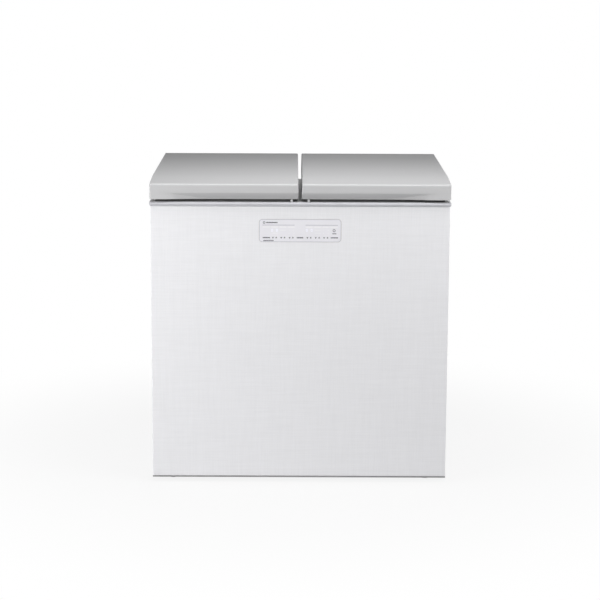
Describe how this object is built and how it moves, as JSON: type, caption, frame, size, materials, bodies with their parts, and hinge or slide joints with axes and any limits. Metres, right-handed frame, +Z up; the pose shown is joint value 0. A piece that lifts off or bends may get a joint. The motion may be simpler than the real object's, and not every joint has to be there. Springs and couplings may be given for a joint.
{
  "type": "kimchi refrigerator",
  "caption": "Chest kimchi refrigerator with side-by-side top lids on rear hinges, insulated wells with storage tubs, a touch control window and a machine room low at the back.",
  "frame": {"origin": "on the floor under the middle of the cabinet's outline", "axes": "+X to the right as seen from the front, +Y from the front to the back, +Z up; the front panel faces -Y"},
  "size_m": [0.925, 0.765, 0.95],
  "materials": {
    "lid": "satin silver grey",
    "panel": "pale grey laminate with a fine woven pattern",
    "side": "pale grey enamel",
    "trim": "silver",
    "deck": "pale grey",
    "window": "milky, with printed marks",
    "white_plastic": "satin",
    "dark_plastic": "black",
    "black_enamel": "black enamel",
    "aluminium": "embossed sheet",
    "galvanised": "zinc coated",
    "steel": "zinc plated",
    "copper": "copper tube",
    "foam": "rigid insulation foam",
    "seal": "soft dark seal",
    "circuit": "circuit board",
    "tub": "semi-opaque",
    "tub_lid": "red brown"
  },
  "bodies": {
    "cabinet": {"base_frame": "galvanised", "cabinet_shell": "side", "foam_body": "foam", "front_panel": "panel", "bottom_trim": "dark_plastic", "control_window": "window", "control_board": "circuit", "front_trim": "trim", "top_deck": "deck", "rear_cover": "galvanised", "power_gland": "dark_plastic", "compressor": "black_enamel", "compressor_cradle": "galvanised", "condenser": "black_enamel", "discharge_pipe": "copper", "fan_shroud": "dark_plastic", "fan_motor": "dark_plastic", "board_box": "white_plastic", "left_liner": "aluminium", "right_liner": "aluminium", "left_evaporator": "copper", "right_evaporator": "copper", "left_bumper": "deck", "right_bumper": "deck", "left_roller_bracket": "galvanised", "right_roller_bracket": "galvanised", "left_roller_axle": "steel", "right_roller_axle": "steel", "left_inner_hinge_base": "steel", "left_outer_hinge_base": "steel", "right_inner_hinge_base": "steel", "right_outer_hinge_base": "steel", "left_inner_hinge_pin": "steel", "left_outer_hinge_pin": "steel", "right_inner_hinge_pin": "steel", "right_outer_hinge_pin": "steel", "left_hinge_spring": "steel", "right_hinge_spring": "steel", "lower_tub": "tub", "lower_tub_lid": "tub_lid", "upper_tub": "tub", "upper_tub_lid": "tub_lid"},
    "left_lid": {"left_lid_cover": "lid", "left_lid_foam": "foam", "left_lid_liner": "white_plastic", "left_lid_gasket": "seal", "left_inner_hinge_leaf": "steel", "left_outer_hinge_leaf": "steel"},
    "right_lid": {"right_lid_cover": "lid", "right_lid_foam": "foam", "right_lid_liner": "white_plastic", "right_lid_gasket": "seal", "right_inner_hinge_leaf": "steel", "right_outer_hinge_leaf": "steel"},
    "fan": {"fan_blade": "white_plastic"},
    "left_front_foot": {"left_foot": "dark_plastic"},
    "right_front_foot": {"right_foot": "dark_plastic"},
    "left_rear_roller": {"left_roller": "dark_plastic"},
    "right_rear_roller": {"right_roller": "dark_plastic"}
  },
  "joints": [
    {"name": "left_lid_hinge", "type": "hinge", "parent": "cabinet", "child": "left_lid", "pos_m": [-0.23275, 0.358, 0.904], "axis": [-1, 0, 0], "range_deg": [0, 80]},
    {"name": "right_lid_hinge", "type": "hinge", "parent": "cabinet", "child": "right_lid", "pos_m": [0.23275, 0.358, 0.904], "axis": [-1, 0, 0], "range_deg": [0, 80]},
    {"name": "fan_spin", "type": "hinge", "parent": "cabinet", "child": "fan", "pos_m": [-0.248, 0.217, 0.1145], "axis": [1, 0, 0], "continuous": true},
    {"name": "left_foot_height", "type": "slide", "parent": "cabinet", "child": "left_front_foot", "axis": [0, 0, -1], "range_m": [0, 0.012]},
    {"name": "right_foot_height", "type": "slide", "parent": "cabinet", "child": "right_front_foot", "axis": [0, 0, -1], "range_m": [0, 0.012]},
    {"name": "left_roller_spin", "type": "hinge", "parent": "cabinet", "child": "left_rear_roller", "pos_m": [-0.3985, 0.3045, 0.0125], "axis": [1, 0, 0], "continuous": true},
    {"name": "right_roller_spin", "type": "hinge", "parent": "cabinet", "child": "right_rear_roller", "pos_m": [0.3985, 0.3045, 0.0125], "axis": [1, 0, 0], "continuous": true}
  ]
}
